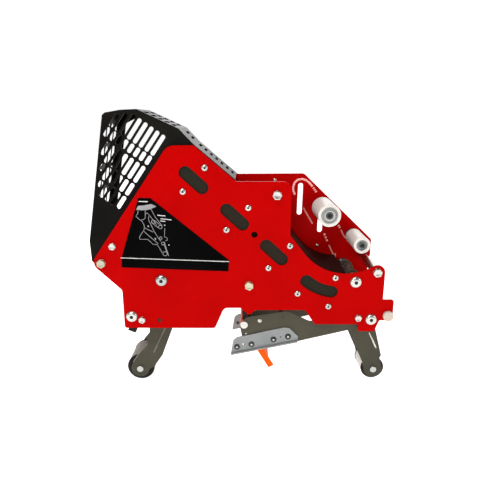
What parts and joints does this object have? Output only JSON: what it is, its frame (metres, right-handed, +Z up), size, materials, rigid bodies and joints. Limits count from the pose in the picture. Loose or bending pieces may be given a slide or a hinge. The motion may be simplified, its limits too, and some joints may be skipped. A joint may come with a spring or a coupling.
{
  "type": "carton sealer taping head",
  "caption": "Taping head of a carton sealer: red side plates, perforated black guard, tape rollers, sprung swing arms with rollers and a hinged cut-off frame with knife guard.",
  "frame": {"origin": "centre of the bounding box at floor level, under the two rollers the head stands on", "axes": "+X along the head towards the end that cartons enter, +Y across to the far side plate, +Z up"},
  "size_m": [0.4642, 0.115, 0.4333],
  "materials": {
    "red_paint": "gloss",
    "olive_paint": "satin",
    "black_paint": "satin",
    "zinc": "satin",
    "dark_steel": "satin",
    "spring_steel": "satin",
    "slide_zinc": "satin",
    "blade_steel": "polished",
    "black_screw": "satin",
    "white_plastic": "satin",
    "grey_alloy": "satin",
    "bronze": "satin",
    "rubber": "matte",
    "grey_rubber": "matte",
    "orange_plastic": "satin",
    "label_film": "gloss",
    "clear_nylon": "gloss"
  },
  "bodies": {
    "frame": {"side_plate_near": "red_paint", "side_plate_far": "red_paint", "tie_rods": "zinc", "stud_posts": "zinc", "tie_bolts": "zinc", "frame_screws": "zinc", "guide_screws": "zinc", "mounting_studs": "zinc", "stop_sleeves": "rubber", "pivot_screws": "zinc", "pivot_stubs": "zinc", "arm_springs": "spring_steel", "guide_brackets_near": "olive_paint", "guide_brackets_far": "olive_paint", "tape_chute": "black_paint", "guard_side_near": "black_paint", "guard_side_far": "black_paint", "guard_wrap": "black_paint", "label_plate": "label_film", "edge_knob": "clear_nylon", "rubber_bumpers": "rubber", "tension_shaft": "dark_steel", "wrap_shaft": "dark_steel", "shaft_nuts": "zinc", "cutoff_pivot_stubs": "dark_steel", "cutoff_springs": "spring_steel"},
    "tension_roller": {"tension_roller": "white_plastic", "tension_roller_hubs": "grey_alloy"},
    "wrap_roller": {"wrap_roller": "white_plastic", "wrap_roller_hubs": "grey_alloy"},
    "apply_arm": {"apply_arm_near": "olive_paint", "apply_arm_far": "olive_paint", "apply_arm_spacers": "olive_paint", "apply_arm_bushes": "bronze", "apply_roller_shaft": "zinc", "apply_link_pin": "zinc"},
    "apply_roller": {"apply_roller": "white_plastic", "apply_roller_rims": "rubber"},
    "buff_arm": {"buff_arm_near": "olive_paint", "buff_arm_far": "olive_paint", "buff_arm_spacers": "olive_paint", "buff_arm_bushes": "bronze", "buff_roller_shaft": "zinc", "buff_link_pin": "zinc"},
    "buff_roller": {"buff_roller": "grey_rubber", "buff_roller_rims": "rubber"},
    "link_rod": {"link_rod": "zinc"},
    "cutoff_frame": {"cutoff_side_near": "olive_paint", "cutoff_side_far": "olive_paint", "slide_plate_near": "slide_zinc", "slide_plate_far": "slide_zinc", "slide_screws": "black_screw", "guard_shaft": "zinc", "cutoff_rod": "olive_paint", "cutoff_bumpers": "rubber", "knife_holder": "olive_paint", "knife_blade": "blade_steel", "knife_clamp": "zinc", "guard_springs": "spring_steel"},
    "knife_guard": {"knife_guard": "orange_plastic"}
  },
  "joints": [
    {"name": "apply_swing", "type": "hinge", "parent": "frame", "child": "apply_arm", "pos_m": [0.1695, 0, 0.1798], "axis": [0, 1, 0], "range_deg": [0, 48], "stiffness_Nm_per_rad": 2, "springref_deg": -34.38},
    {"name": "buff_swing", "type": "hinge", "parent": "frame", "child": "buff_arm", "pos_m": [-0.1266, 0, 0.1819], "axis": [0, 1, 0], "range_deg": [-48, 0]},
    {"name": "link_swing", "type": "hinge", "parent": "apply_arm", "child": "link_rod", "pos_m": [0.17763, 0, 0.16153], "axis": [0, 1, 0], "range_deg": [-48, 0]},
    {"name": "apply_roll", "type": "hinge", "parent": "apply_arm", "child": "apply_roller", "pos_m": [0.2131, 0, 0.019], "axis": [0, 1, 0], "continuous": true},
    {"name": "buff_roll", "type": "hinge", "parent": "buff_arm", "child": "buff_roller", "pos_m": [-0.1715, 0, 0.0223], "axis": [0, 1, 0], "continuous": true},
    {"name": "tension_roll", "type": "hinge", "parent": "frame", "child": "tension_roller", "pos_m": [0.1279, 0, 0.2793], "axis": [0, 1, 0], "continuous": true},
    {"name": "wrap_roll", "type": "hinge", "parent": "frame", "child": "wrap_roller", "pos_m": [0.181, 0, 0.2318], "axis": [0, 1, 0], "continuous": true},
    {"name": "cutoff_swing", "type": "hinge", "parent": "frame", "child": "cutoff_frame", "pos_m": [0.1764, 0, 0.1214], "axis": [0, 1, 0], "range_deg": [0, 10], "stiffness_Nm_per_rad": 1, "springref_deg": -28.65},
    {"name": "knife_guard_swing", "type": "hinge", "parent": "cutoff_frame", "child": "knife_guard", "pos_m": [-0.0005, 0, 0.1062], "axis": [0, 1, 0], "range_deg": [0, 25], "stiffness_Nm_per_rad": 0.05, "springref_deg": -28.65}
  ],
  "couplings": [
    {"joint": "buff_swing", "follows": "apply_swing", "ratio": -1},
    {"joint": "link_swing", "follows": "apply_swing", "ratio": -1}
  ]
}
